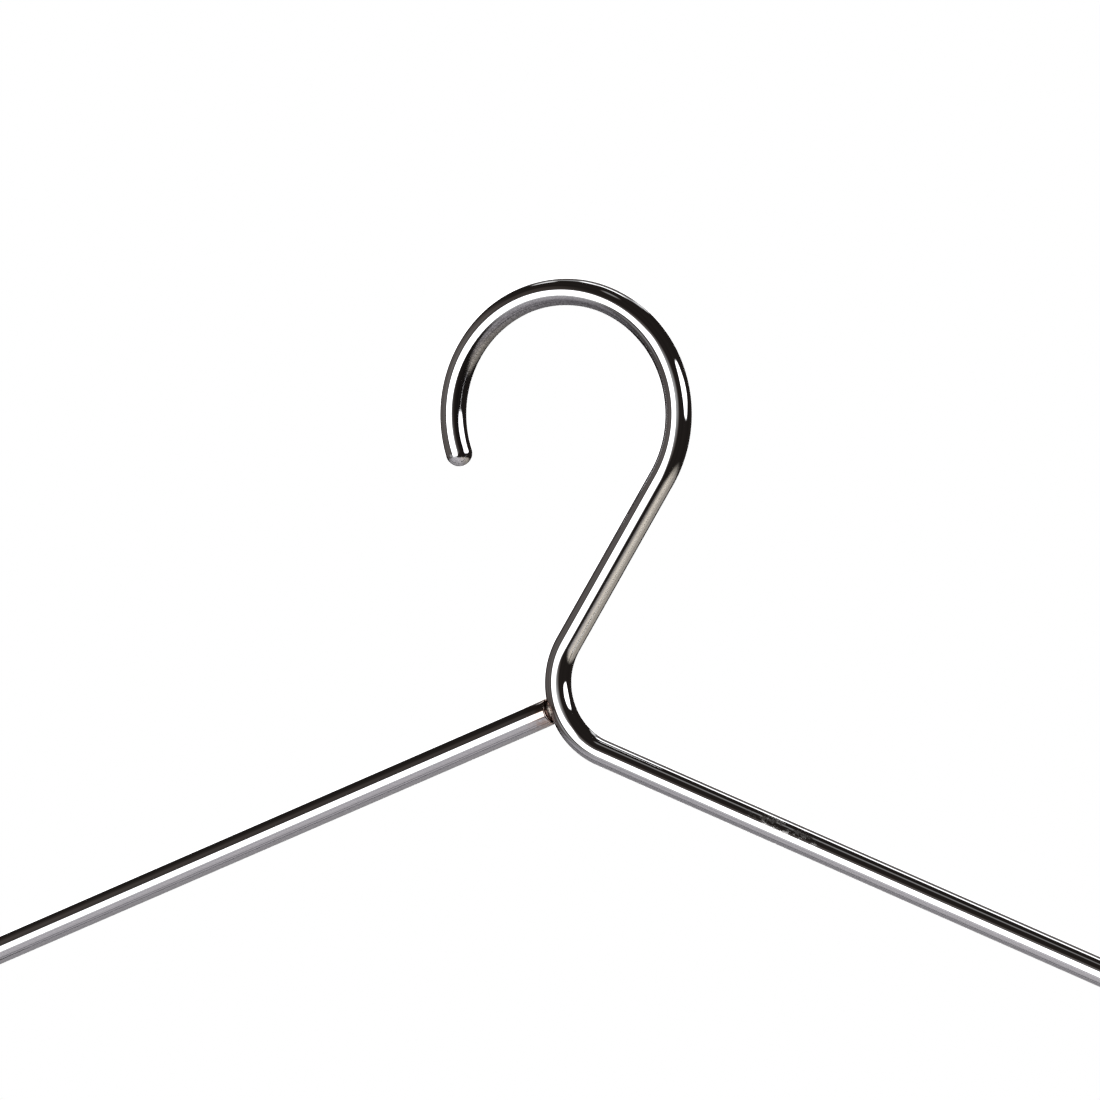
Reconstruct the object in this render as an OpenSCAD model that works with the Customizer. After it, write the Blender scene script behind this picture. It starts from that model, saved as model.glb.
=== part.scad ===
// Trouser hanger: one length of bent, chrome-plated wire whose free end is butt-welded to its own neck,
// and two sprung clips that slide and swing on its bottom bar.
// Millimetres. The origin is the centre of the hook's bend, in the middle plane of the wire.
// +X is to the right as the hanger is looked at with the weld left of the neck, +Y to the back, +Z up.

/* [Wire] */
// Diameter of the wire
wire_d = 4.4; // [3.5:0.1:5.5]
// Overall width of the frame
frame_w = 400; // [340:10:460]
// Fall of the two arms below level
arm_fall = 21.9; // [18:0.1:28]
// Inside radius of the bends at the two ends
corner_in_r = 8; // [7:0.5:12]

/* [Hook] */
// Inside radius of the hook
hook_in_r = 17.5; // [15:0.1:20]
// How far the tip goes on past level
tip_past = 18; // [5:1:40]
// Lean of the shank from upright
shank_lean = 32; // [22:0.5:36]
// Drop from the hook's centre to where the shank's line meets the right arm's
neck_drop = 49.2; // [46:0.2:66]
// Inside radius of the bend at the neck
neck_in_r = 9.8; // [8:0.2:14]
// How much further down the right arm the left arm's line meets it
neck_shift = 0.7; // [0:0.1:3]

/* [Weld] */
// Width of the seam between the arm's end and the neck
seam_w = 0.5; // [0.2:0.1:1]
// How far the bead stands in from the wire's skin
seam_recess = 0.25; // [0.1:0.05:0.6]

/* [Clips] */
// Distance of each clip from the middle of the bar
clip_x = 110; // [40:5:150]
// Thickness of the pressed sheet
sheet_t = 1; // [0.7:0.1:1.3]
// Width of the jaws at the lip
lip_w = 24; // [20:1:30]
// Width of the back jaw at the bar
waist_w = 20; // [19:0.5:24]
// Width of the finger tabs
tab_w = 18; // [14:1:24]
// Straight length of the finger tabs above the bar
tab_len = 14; // [11:0.5:16]
// Lean of the finger tabs from upright
tab_lean = 6; // [3:0.5:12]
// Length of the flared tip of a finger tab
flare_len = 3.5; // [2:0.5:5]
// Lean of the flared tip from upright
flare_lean = 36; // [20:2:60]
// Length of the jaws from the bar to the belly
belly_len = 12; // [9:0.5:16]
// Lean of that stretch from upright
belly_lean = 9; // [4:0.5:14]
// Lean of the stretch that comes back in to the lip
lip_lean = 24; // [18:1:34]
// Straight length of the lip
lip_len = 8; // [6:0.5:12]

/* [Pads] */
// Thickness of the cushion between the lip and the garment
pad_face_t = 2.2; // [1.5:0.1:3.5]
// Thickness of the skin round the rest of the lip
pad_skin = 1.1; // [0.8:0.1:1.8]
// Height of the pads
pad_h = 10; // [8:0.5:14]
// Number of grip grooves in each pad
groove_n = 5; // [2:1:7]
// Depth of the grip grooves
groove_deep = 0.6; // [0.3:0.1:1]

/* [Spring] */
// Diameter of the spring wire
spring_d = 1.2; // [0.9:0.1:1.5]
// Pitch of the coils
spring_pitch = 1.9; // [1.7:0.05:2.1]
// Turns wound, counting the half turn left out to set both legs upright
spring_turns = 6; // [3:1:6]
// Length of the legs
leg_len = 11; // [8:0.5:13]

/* [Fits] */
// Clearance between the bar and the holes that turn on it, on the radius
bar_clear = 0.1; // [0.05:0.05:0.3]
// Clearance between the bar and the inside of the spring, on the radius
coil_clear = 0.5; // [0.3:0.05:0.8]
// Metal left round the holes that turn on the bar
ear_wall = 1.15; // [0.9:0.05:1.4]
// Gap between pieces of a clip that move past each other
move_gap = 0.35; // [0.25:0.05:0.5]

/* [Hidden] */
$fn = 64;

// Overrun of every cutting shape
cut = 1;
// How much the wire draws down in a bend, and how far a bend runs into the next straight, as shares of its radius
draw_share = 0.005;
lap_share = 0.1;
// Gap between a leg of the spring and the tab that it pushes on
leg_gap = 0.05;
// Facets of the weld, which is small and meets the neck's curve
weld_fn = 180;

chrome = [0.86, 0.86, 0.88];
weld_tint = [0.55, 0.44, 0.36];
spring_steel = [0.62, 0.62, 0.64];
pad_black = [0.07, 0.07, 0.08];

// A unit vector at an angle, anticlockwise from level, and the same leaning from upright
function along(a) = [cos(a), sin(a)];
function leaning(a) = [sin(a), cos(a)];

// The wire's line, as points [x, z]
wire_r = wire_d / 2;
bend_d = wire_d * (1 - draw_share);
tip_d = wire_d * (1 - 2 * draw_share);
hook_r = hook_in_r + wire_r;
neck_r = neck_in_r + wire_r;
corner_r = corner_in_r + wire_r;
tip_angle = 180 + tip_past;
shank_heading = -90 - shank_lean;
shank_top = hook_r * along(-shank_lean);
// Where the shank's line meets the right arm's, and where the left arm's line does
meet = shank_top + along(shank_heading) * (neck_drop + shank_top.y) / cos(shank_lean);
apex = meet + along(-arm_fall) * neck_shift;
neck_turn = -arm_fall - shank_heading;
neck_run = neck_r * tan(neck_turn / 2);
neck_in = meet - along(shank_heading) * neck_run;
neck_out = meet + along(-arm_fall) * neck_run;
neck_c = neck_in + neck_r * along(-shank_lean);
// Each end's bend lies under its arm's line and rolls that line round to the bar
corner_dx = frame_w / 2 - wire_r - corner_r;
corner_z = apex.y - (corner_r + corner_dx * sin(arm_fall)) / cos(arm_fall);
bar_z = corner_z - corner_r;
bar_mid = apex.x;
corner_turn = 180 - arm_fall;
// The left arm stops a seam short of the neck's outer skin
past_c = (apex - neck_c) * along(90 + arm_fall);
to_skin = (apex - neck_c) * along(arm_fall) + sqrt((neck_r + wire_r) ^ 2 - past_c ^ 2);
arm_end = apex - along(arm_fall) * (to_skin + seam_w);

// One straight of the wire, from p to q
module straight(p, q, d = wire_d) {
    run = q - p;
    translate([p.x, 0, p.y])
        rotate([0, 90 - atan2(run.y, run.x), 0])
            cylinder(d = d, h = norm(run));
}

// One turn of the wire about the centre c, from angle a
module turn_of(c, r, a, turn, d = wire_d) {
    translate([c.x, 0, c.y])
        rotate([90, 0, 0])
            rotate(a)
                rotate_extrude(angle = turn)
                    translate([r, 0])
                        circle(d = d);
}

// A bend is a hair thinner than the straights, as drawn wire is, and laps into what it joins at both ends
module bend(c, r, a, turn) {
    lap = asin(lap_share * wire_r / r);
    turn_of(c, r, a - lap, turn + 2 * lap, bend_d);
}

module neck_bend() {
    bend(neck_c, neck_r, 180 - shank_lean, neck_turn);
}

module right_end() {
    bend([bar_mid + corner_dx, corner_z], corner_r, -90, corner_turn);
}

module left_end() {
    bend([bar_mid - corner_dx, corner_z], corner_r, 90 + arm_fall, corner_turn);
}

// The whole wire, in the order in which it is bent: tip, hook, shank, neck, right arm, bar, left arm
module frame_wire() {
    arm_top = corner_r * along(90 - arm_fall);
    color(chrome)
        union() {
            translate([hook_r * cos(tip_angle), 0, hook_r * sin(tip_angle)])
                sphere(d = tip_d);
            bend([0, 0], hook_r, -shank_lean, tip_angle + shank_lean);
            straight(shank_top, neck_in);
            neck_bend();
            straight(neck_out, [bar_mid + corner_dx + arm_top.x, corner_z + arm_top.y]);
            right_end();
            straight([bar_mid + corner_dx, bar_z], [bar_mid - corner_dx, bar_z]);
            left_end();
            straight([bar_mid - corner_dx - arm_top.x, corner_z + arm_top.y], arm_end);
        }
}

// The resistance weld: a short plug that fills the seam out to just under the wire's skin
module neck_weld() {
    $fn = weld_fn;
    color(weld_tint)
        difference() {
            straight(arm_end, arm_end + along(arm_fall) * (seam_w + wire_r), wire_d - 2 * seam_recess);
            neck_bend();
        }
}

// Clip sizes that follow from the bar, the spring and the sheet. Points here are [out, up]:
// out is away from the middle plane between the jaws, and up is above the bar's axis.
coil_r = wire_r + coil_clear + spring_d / 2;
ear_hole_r = wire_r + bar_clear;
ear_r = ear_hole_r + ear_wall;
sheet_in = coil_r + spring_d / 2 + leg_gap;
waist = [(sheet_in + sheet_t / 2) / cos(tab_lean), 0];
tab_top = waist + tab_len * leaning(tab_lean);
tab_tip = tab_top + flare_len * leaning(flare_lean);
belly = waist + belly_len * [sin(belly_lean), -cos(belly_lean)];
lip_out = pad_face_t + (move_gap + sheet_t) / 2;
lip_top = [lip_out, belly.y - (belly.x - lip_out) / tan(lip_lean)];
lip_end = lip_top - [0, lip_len];
pad_end = lip_end.y - pad_skin;
// Ear plates: the back jaw's stand outside the front jaw's
back_ear_x = waist_w / 2 - sheet_t;
front_ear_x = back_ear_x - move_gap - sheet_t;
front_waist_w = 2 * (front_ear_x + sheet_t);

// Roundings of the clip's outlines
flare_bend_r = 3 * sheet_t;
waist_bend_r = 6 * sheet_t;
lip_bend_r = 3 * sheet_t;
tab_corner_r = tab_w / 4;
shoulder_r = 2 * sheet_t;
lip_corner_r = 2 * sheet_t;
pad_corner_r = pad_skin;
arc_steps = 6;

// Pressed features: a swage down the belly and three grip ridges across the tab
swage_deep = sheet_t / 2;
swage_w = lip_w / 3;
swage_end_r = swage_w / 2;
swage_high = waist.y - ear_r;
swage_low = (belly.y + lip_top.y) / 2;
ridge_n = 3;
ridge_r = sheet_t / 2;
ridge_pitch = tab_len / 5;
ridge_first = tab_len / 2;
ridge_w = tab_w * 3 / 5;

// The points of an open line p with every inner corner rounded to the radius at the same place in r.
// Each entry is [point, heading], so that the line can be thickened.
function rounded_line(p, r) =
    let (last = len(p) - 1,
         first_run = p[1] - p[0],
         last_run = p[last] - p[last - 1])
    concat(
        [[p[0], atan2(first_run.y, first_run.x)]],
        [for (i = [1 : last - 1])
            let (u = p[i] - p[i - 1],
                 v = p[i + 1] - p[i],
                 a = atan2(u.y, u.x),
                 turn = atan2(u.x * v.y - u.y * v.x, u * v),
                 side = sign(turn),
                 start = p[i] - u / norm(u) * r[i] * tan(abs(turn) / 2),
                 c = start + side * r[i] * along(a + 90))
            for (k = [0 : arc_steps])
                let (h = a + turn * k / arc_steps)
                [c - side * r[i] * along(h + 90), h]],
        [[p[last], atan2(last_run.y, last_run.x)]]);

// A closed outline round such a line, from "near" to "far" on its left-hand side
function strip(line, near, far) =
    concat([for (e = line) e[0] + far * along(e[1] + 90)],
           [for (i = [len(line) - 1 : -1 : 0]) line[i][0] + near * along(line[i][1] + 90)]);

// A closed outline p with every corner rounded to the radius at the same place in r
function rounded_outline(p, r) =
    let (n = len(p),
         line = rounded_line(concat([p[n - 1]], p, [p[0]]), concat([0], r, [0])))
    [for (i = [1 : len(line) - 2]) line[i][0]];

// The sheet's line from the flared tip of the tab down to the lip
jaw_line = rounded_line(
    [tab_tip, tab_top, waist, belly, lip_top, lip_end],
    [0, flare_bend_r, waist_bend_r, waist_bend_r, lip_bend_r, 0]);

// The right half of a jaw's outline seen from the front, mirrored to make the whole
function jaw_outline(w) =
    let (half = [[tab_w / 2, tab_tip.y + sheet_t],
                 [tab_w / 2, ear_r + shoulder_r],
                 [w / 2, ear_r],
                 [w / 2, -ear_r],
                 [lip_w / 2, -ear_r - lip_w / 4],
                 [lip_w / 2, lip_end.y]],
         r = [tab_corner_r, shoulder_r / 2, shoulder_r / 4, shoulder_r / 2, shoulder_r, lip_corner_r],
         n = len(half))
    rounded_outline(
        concat(half, [for (i = [n - 1 : -1 : 0]) [-half[i].x, half[i].y]]),
        concat(r, [for (i = [n - 1 : -1 : 0]) r[i]]));

// Pushes a shape drawn as [out, up] through the width w, centred on the bar
module across(w) {
    rotate([90, 0, 90])
        translate([0, 0, -w / 2])
            linear_extrude(w)
                children();
}

// Pushes an outline drawn as [x, up] through the whole depth of a jaw
module through() {
    deep = 2 * tab_tip.x + 2 * cut;
    rotate([90, 0, 0])
        translate([0, 0, -deep / 2])
            linear_extrude(deep)
                children();
}

// A layer of the sheet between two distances from its middle line, cut to an outline
module sheet_layer(near, far, w) {
    intersection() {
        across(w)
            polygon(strip(jaw_line, near, far));
        through()
            children();
    }
}

// The pressed swage is the same slot seen from outside and, a sheet's thickness smaller, from inside
module swage_slot(inset = 0) {
    r = swage_end_r - inset;
    for (z = [swage_high - swage_end_r, swage_low + swage_end_r])
        translate([0, z])
            circle(r = r);
    translate([-r, swage_low + swage_end_r])
        square([2 * r, swage_high - swage_low - 2 * swage_end_r]);
}

// The lug on each side that turns on the bar, as a web that widens towards the sheet
module ear() {
    root = waist.x + sheet_t / 4;
    reach = ear_r + 2 * sheet_t;
    across(sheet_t) {
        circle(r = ear_r);
        polygon([[0, ear_r], [root, reach], [root, -reach], [0, -ear_r]]);
    }
}

// One pressed jaw with its ears at distance ear_x from the middle, drawn on the back side (+Y)
module jaw(w, ear_x) {
    ridge_line = sheet_t / 2 * [cos(tab_lean), -sin(tab_lean)];
    difference() {
        union() {
            sheet_layer(-sheet_t / 2, sheet_t / 2, lip_w + 2 * cut)
                polygon(jaw_outline(w));
            sheet_layer(0, sheet_t / 2 + swage_deep, swage_w + 2 * cut)
                swage_slot();
            for (i = [0 : ridge_n - 1])
                let (p = waist + (ridge_first + i * ridge_pitch) * leaning(tab_lean) + ridge_line)
                translate([0, p.x, p.y])
                    rotate([0, 90, 0])
                        cylinder(r = ridge_r, h = ridge_w, center = true);
            for (s = [-1, 1])
                translate([s * (ear_x + sheet_t / 2), 0, 0])
                    ear();
        }
        sheet_layer(-sheet_t / 2 - swage_deep, swage_deep - sheet_t / 2, swage_w + 2 * cut)
            swage_slot(sheet_t / 2);
        rotate([0, 90, 0])
            cylinder(r = ear_hole_r, h = waist_w + 2 * cut, center = true);
    }
}

// One soft pad, moulded round the lip of a jaw, drawn on the back side (+Y)
module pad() {
    face = move_gap / 2;
    outside = lip_out + sheet_t / 2 + pad_skin;
    pitch = pad_h / (groove_n + 1);
    difference() {
        across(lip_w + 2 * pad_skin)
            difference() {
                polygon(rounded_outline(
                    [[face, pad_end + pad_h], [face, pad_end], [outside, pad_end], [outside, pad_end + pad_h]],
                    [pad_corner_r / 2, pad_corner_r / 2, pad_corner_r, pad_corner_r / 2]));
                for (i = [1 : groove_n])
                    translate([face, pad_end + i * pitch])
                        polygon([[-groove_deep, -2 * groove_deep], [groove_deep, 0], [-groove_deep, 2 * groove_deep]]);
            }
        sheet_layer(-sheet_t / 2, sheet_t / 2, lip_w + 2 * cut)
            polygon(jaw_outline(waist_w));
    }
}

// The torsion spring's line: down the back leg, round the bar, and up the front leg.
// Each entry is [x, angle round the bar, distance along the leg from where it leaves the coil].
leg_angle = -tab_lean;
coil_sweep = 360 * spring_turns - 180 - 2 * tab_lean;
coil_len = spring_pitch * coil_sweep / 360;
rings_a_turn = 8;
coil_rings = ceil(rings_a_turn * coil_sweep / 360);
spring_line = concat(
    [[-coil_len / 2, leg_angle, leg_len]],
    [for (i = [0 : coil_rings]) [coil_len * (i / coil_rings - 1 / 2), leg_angle - coil_sweep * i / coil_rings, 0]],
    [[coil_len / 2, leg_angle - coil_sweep, leg_len]]);

// A point of the spring at distance r from the bar's axis. On both legs, the way out of the coil is up.
function spring_point(e, r) =
    let (way = e[0] < 0 ? 90 : -90,
         p = r * along(e[1]) + e[2] * along(e[1] + way))
    [e[0], p.x, p.y];

// The gap left between the coils, measured between the points of the line that are over half a turn apart
spring_middle = [for (e = spring_line) spring_point(e, coil_r)];
spring_gap = min([
    for (i = [0 : len(spring_middle) - 1])
        for (j = [i + 1 + rings_a_turn / 2 : 1 : len(spring_middle) - 1])
            norm(spring_middle[i] - spring_middle[j])]) - spring_d;
echo(spring_gap = spring_gap);

module spring() {
    sides = 6;
    rings = len(spring_line);
    points = [
        for (e = spring_line)
            for (k = [0 : sides - 1])
                spring_point(e, coil_r + spring_d / 2 * cos(360 * k / sides))
                    + [spring_d / 2 * sin(360 * k / sides), 0, 0]];
    last = (rings - 1) * sides;
    faces = concat(
        [for (i = [0 : rings - 2])
            for (k = [0 : sides - 1])
                let (a = i * sides + k, b = i * sides + (k + 1) % sides)
                for (f = [[a, b, b + sides], [a, b + sides, a + sides]]) f],
        [for (k = [1 : sides - 2]) [0, k + 1, k]],
        [for (k = [1 : sides - 2]) [last, last + k, last + k + 1]]);
    color(spring_steel)
        polyhedron(points, faces);
}

// Places a clip's piece on the bar, side -1 to the left and 1 to the right
module on_bar(side) {
    translate([bar_mid + side * clip_x, 0, bar_z])
        children();
}

module back_jaw() {
    color(chrome)
        jaw(waist_w, back_ear_x);
}

module front_jaw() {
    color(chrome)
        mirror([0, 1, 0])
            jaw(front_waist_w, front_ear_x);
}

module back_pad() {
    color(pad_black)
        pad();
}

module front_pad() {
    color(pad_black)
        mirror([0, 1, 0])
            pad();
}

frame_wire();
neck_weld();
on_bar(-1) spring();  // left_clip_spring
on_bar(-1) back_jaw();  // left_clip_back_jaw
on_bar(-1) back_pad();  // left_clip_back_pad
on_bar(-1) front_jaw();  // left_clip_front_jaw
on_bar(-1) front_pad();  // left_clip_front_pad
on_bar(1) spring();  // right_clip_spring
on_bar(1) back_jaw();  // right_clip_back_jaw
on_bar(1) back_pad();  // right_clip_back_pad
on_bar(1) front_jaw();  // right_clip_front_jaw
on_bar(1) front_pad();  // right_clip_front_pad
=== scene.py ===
# %% [markdown]
# # A wire trouser hanger, dressed for its picture
# The hanger is one length of chrome-plated wire with two sprung clips on its bottom bar. The CAD model
# already holds every piece at its true size, so this script only makes what the eye adds to it: smooth
# bends, folded sheet, moulded pads, wound springs, and finishes that look like chrome, steel and rubber.

import math

import bmesh
import bpy
import numpy as np
from mathutils import Matrix, Vector


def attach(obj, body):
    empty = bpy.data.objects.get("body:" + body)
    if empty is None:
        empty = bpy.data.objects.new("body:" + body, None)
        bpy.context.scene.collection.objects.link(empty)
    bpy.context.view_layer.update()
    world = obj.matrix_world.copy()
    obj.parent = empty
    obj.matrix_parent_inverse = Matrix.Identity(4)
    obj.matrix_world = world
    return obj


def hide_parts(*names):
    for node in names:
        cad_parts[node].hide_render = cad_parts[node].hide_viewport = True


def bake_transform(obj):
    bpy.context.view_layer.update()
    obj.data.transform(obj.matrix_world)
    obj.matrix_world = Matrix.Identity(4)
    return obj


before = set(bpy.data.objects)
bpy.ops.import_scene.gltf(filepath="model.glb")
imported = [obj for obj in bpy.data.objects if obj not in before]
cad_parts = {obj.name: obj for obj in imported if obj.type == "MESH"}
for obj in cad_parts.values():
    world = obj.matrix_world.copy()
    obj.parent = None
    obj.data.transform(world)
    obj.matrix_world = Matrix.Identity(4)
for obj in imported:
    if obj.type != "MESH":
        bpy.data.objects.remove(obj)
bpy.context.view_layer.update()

# %% [markdown]
# ## The camera
# The picture was taken with a long lens from about a metre away, a little to the right of square on, and
# the hanger hung a touch out of level. A camera matrix built from those angles keeps all of them in one
# place. The small roll belongs to the hanger, so it is given to the camera with its sign turned round.

# %% Camera
VIEW_TURN = math.radians(23.0)
VIEW_DOWN = math.radians(1.03)
HANGER_ROLL = 0.012
CAMERA_AWAY = 1.1
CAMERA_ASIDE = -0.0024
CAMERA_UP = -0.00216
LENS_MM = 223.3
SENSOR_MM = 36

to_right = Vector((math.cos(VIEW_TURN), math.sin(VIEW_TURN), 0))
to_camera = Vector((math.sin(VIEW_TURN), -math.cos(VIEW_TURN), 0))
upward = Vector((0, 0, 1))


def add_camera():
    """Stands off along to_camera, looks back along it, tipped down, then rolls with the hanger."""
    data = bpy.data.cameras.new("camera")
    data.lens = LENS_MM
    data.sensor_width = SENSOR_MM
    camera = bpy.data.objects.new("camera", data)
    bpy.context.scene.collection.objects.link(camera)
    place = to_camera * CAMERA_AWAY + to_right * CAMERA_ASIDE + upward * CAMERA_UP
    back = to_camera * math.cos(VIEW_DOWN) + upward * math.sin(VIEW_DOWN)
    top = upward * math.cos(VIEW_DOWN) - to_camera * math.sin(VIEW_DOWN)
    axes = Matrix((to_right, top, back)).transposed().to_4x4()
    camera.matrix_world = Matrix.Rotation(HANGER_ROLL, 4, "Y") @ Matrix.Translation(place) @ axes
    bpy.context.scene.camera = camera
    return camera


camera = add_camera()
print("camera at", [round(x, 4) for x in camera.matrix_world.translation])

# %% [markdown]
# ## Putting a grid of points into a mesh
# Every new piece here is a sheet of points, row by row, that closes on itself or ends in a cap. The faces
# of such a grid follow from its size alone, so short functions work them all out as arrays, with no loop.


# %% Grids and meshes
def grid_faces(rows, columns, closed=True, first=0):
    """Each vertex with its neighbours a row on and a column on; where closed, the columns wrap round."""
    last_column = columns if closed else columns - 1
    i, j = np.meshgrid(np.arange(rows - 1), np.arange(last_column), indexing="ij")
    this_row, next_row, next_j = i * columns, (i + 1) * columns, (j + 1) % columns
    corners = [this_row + j, this_row + next_j, next_row + next_j, next_row + j]
    return (np.stack(corners, axis=-1).reshape(-1, 4) + first).tolist()


def fan(ring_start, columns, pole, turned=False):
    """Triangles from each edge of a ring to one pole vertex."""
    j = np.arange(columns)
    edges = [ring_start + j, ring_start + (j + 1) % columns]
    if turned:
        edges.reverse()
    return np.stack([*edges, np.full(columns, pole)], axis=-1).tolist()


def tube_faces(rings, sides):
    """A closed tube whose last two vertices are the poles of its first and last ring."""
    first_cap = fan(0, sides, rings * sides, turned=True)
    last_cap = fan((rings - 1) * sides, sides, rings * sides + 1)
    return grid_faces(rings, sides) + first_cap + last_cap


def make_mesh_object(name, points, faces, merge=0.0, crease_angle=None):
    """A mesh with its place in its vertices, doubles merged if asked, and every face turned outwards."""
    mesh = bpy.data.meshes.new(name)
    mesh.from_pydata(np.asarray(points, float).reshape(-1, 3).tolist(), [], faces)
    work = bmesh.new()
    work.from_mesh(mesh)
    if merge:
        bmesh.ops.remove_doubles(work, verts=work.verts, dist=merge)
    bmesh.ops.recalc_face_normals(work, faces=work.faces)
    work.to_mesh(mesh)
    work.free()
    mesh.shade_smooth()
    if crease_angle is not None:
        mesh.set_sharp_from_angle(angle=math.radians(crease_angle))
    thing = bpy.data.objects.new(name, mesh)
    bpy.context.scene.collection.objects.link(thing)
    return thing


def add_point_attribute(thing, name, values):
    """One vector a vertex, which a finish can read with an Attribute node."""
    layer = thing.data.attributes.new(name, "FLOAT_VECTOR", "POINT")
    layer.data.foreach_set("vector", np.asarray(values, np.float32).ravel())


# %% [markdown]
# ## Shader maths as plain Python
# A finish is a sum of small patterns. Wrapping a node's output in a class with the usual operators lets a
# line of Python stand for a chain of Math nodes, which is far easier to read than a page of links.


# %% A number worked out by nodes
class Number:
    """The output of a node. Sums with it add Math nodes to the same tree."""

    def __init__(self, graph, socket):
        self.graph, self.socket = graph, socket

    def _math(self, operation, a, b=0.0):
        return self.graph.node("ShaderNodeMath", {"operation": operation}, {0: a, 1: b})

    def __add__(self, other):
        return self._math("ADD", self, other)

    def __radd__(self, other):
        return self._math("ADD", other, self)

    def __sub__(self, other):
        return self._math("SUBTRACT", self, other)

    def __rsub__(self, other):
        return self._math("SUBTRACT", other, self)

    def __mul__(self, other):
        return self._math("MULTIPLY", self, other)

    def __rmul__(self, other):
        return self._math("MULTIPLY", other, self)

    def __truediv__(self, other):
        return self._math("DIVIDE", self, other)

    def __pow__(self, other):
        return self._math("POWER", self, other)

    def size(self):
        return self._math("ABSOLUTE", self)

    def most(self, other):
        return self._math("MAXIMUM", self, other)

    def rise(self, low, high):
        """0 below low, 1 above high, and a smooth step between. With low above high it falls instead."""
        if low > high:
            return 1 - self.rise(high, low)
        values = {"Value": self, "From Min": low, "From Max": high}
        return self.graph.node("ShaderNodeMapRange", {"interpolation_type": "SMOOTHSTEP"}, values)


class Graph:
    """The node tree of one finish, or of the surroundings."""

    def __init__(self, tree):
        self.tree = tree
        tree.nodes.clear()

    def node(self, kind, settings=None, values=None, out=0):
        """Adds a node, sets it up, fills its sockets with values or links, and returns one output."""
        made = self.tree.nodes.new(kind)
        for name, value in (settings or {}).items():
            if name == "stops":
                ramp = made.color_ramp
                while len(ramp.elements) < len(value):
                    ramp.elements.new(0.5)
                for element, (place, colour) in zip(ramp.elements, value):
                    element.position, element.color = place, (*colour, 1)
            else:
                setattr(made, name, value)
        for name, value in (values or {}).items():
            if isinstance(value, Number):
                self.tree.links.new(value.socket, made.inputs[name])
            else:
                made.inputs[name].default_value = value
        return Number(self, made.outputs[out]) if made.outputs else None

    def mix(self, share, a, b):
        """Colour a where share is 0, colour b where it is 1."""
        a, b = [c if isinstance(c, Number) else (*c, 1) for c in (a, b)]
        return self.node("ShaderNodeMix", {"data_type": "RGBA"}, {0: share, 6: a, 7: b}, out=2)

    def stretch(self, place, scale):
        """A vector scaled along each axis, for patterns that run one way."""
        return self.node("ShaderNodeVectorMath", {"operation": "MULTIPLY"}, {0: place, 1: scale})

    def noise(self, place, scale, detail, rough=0.5):
        """A cloudy pattern about 1 / scale metres across, from about 0.3 to 0.7."""
        values = {"Vector": place, "Scale": scale, "Detail": detail, "Roughness": rough}
        return self.node("ShaderNodeTexNoise", None, values)

    def parts(self, vector):
        """The three numbers of a vector."""
        split = self.node("ShaderNodeSeparateXYZ", None, {0: vector})
        return [Number(self, o) for o in split.socket.node.outputs]

    def dot(self, a, b):
        """How far the vector a goes along the fixed vector b."""
        return self.node("ShaderNodeVectorMath", {"operation": "DOT_PRODUCT"}, {0: a, 1: tuple(b)}, out=1)

    def distance(self, a, b):
        """How far the place a is from the fixed place b."""
        return self.node("ShaderNodeVectorMath", {"operation": "DISTANCE"}, {0: a, 1: tuple(b)}, out=1)

    def place(self):
        """Where a point of the piece is, in the object's own metres."""
        return self.node("ShaderNodeTexCoord", out=3)

    def unbent_place(self):
        """Where the point would be if the wire were straight: x and y across it, z along it."""
        return self.node("ShaderNodeAttribute", {"attribute_name": "unbent_place"}, out=1)

    def bump(self, height, strength, distance):
        """Distance in metres is the height that a value of 1 stands for."""
        values = {"Strength": strength, "Distance": distance, "Height": height}
        return self.node("ShaderNodeBump", None, values)


def new_finish(name):
    """A material with an empty tree, and the graph to fill it."""
    finish = bpy.data.materials.new(name)
    finish.use_nodes = True
    return finish, Graph(finish.node_tree)


def close_finish(graph, **sockets):
    """Ends the tree in a Principled shader. Socket names are written with _ for a space."""
    values = {key.replace("_", " "): value for key, value in sockets.items()}
    for key, value in values.items():
        if isinstance(value, tuple) and len(value) == 3:
            values[key] = (*value, 1)
    shader = graph.node("ShaderNodeBsdfPrincipled", None, values)
    graph.node("ShaderNodeOutputMaterial", None, {"Surface": shader})


# %% [markdown]
# ## The wire's line
# The whole frame is one wire, bent in one plane: tip, hook, shank, neck, right arm, bar, left arm. Its
# centre line is only arcs and straights, and each one starts where the last one ended. Writing the line
# once, from the same sizes as the CAD, gives both the sweep of the tube and the place along it that the
# chrome's drawing lines follow.

# %% Sizes of the bent wire, in metres
WIRE_R = 0.0022
BEND_THINNING = 0.005
HOOK_R = 0.0197
TIP_PAST = math.radians(18)
SHANK_LEAN = math.radians(32)
ARM_FALL = math.radians(21.9)
NECK_DROP = 0.0492
NECK_R = 0.0120
NECK_SHIFT = 0.0007
CORNER_R = 0.0102
FRAME_W = 0.4
SEAM_W = 0.0005
END_LEAN = 0.0030
END_GAP = 0.00012
CUT_EDGE = 0.00025
CUT_CLEAR = 0.0004
DOME_RINGS = 14
CUT_RINGS = 7
BEND_EASE = 12


def ray(angle):
    return np.array([math.cos(angle), math.sin(angle)])


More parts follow.
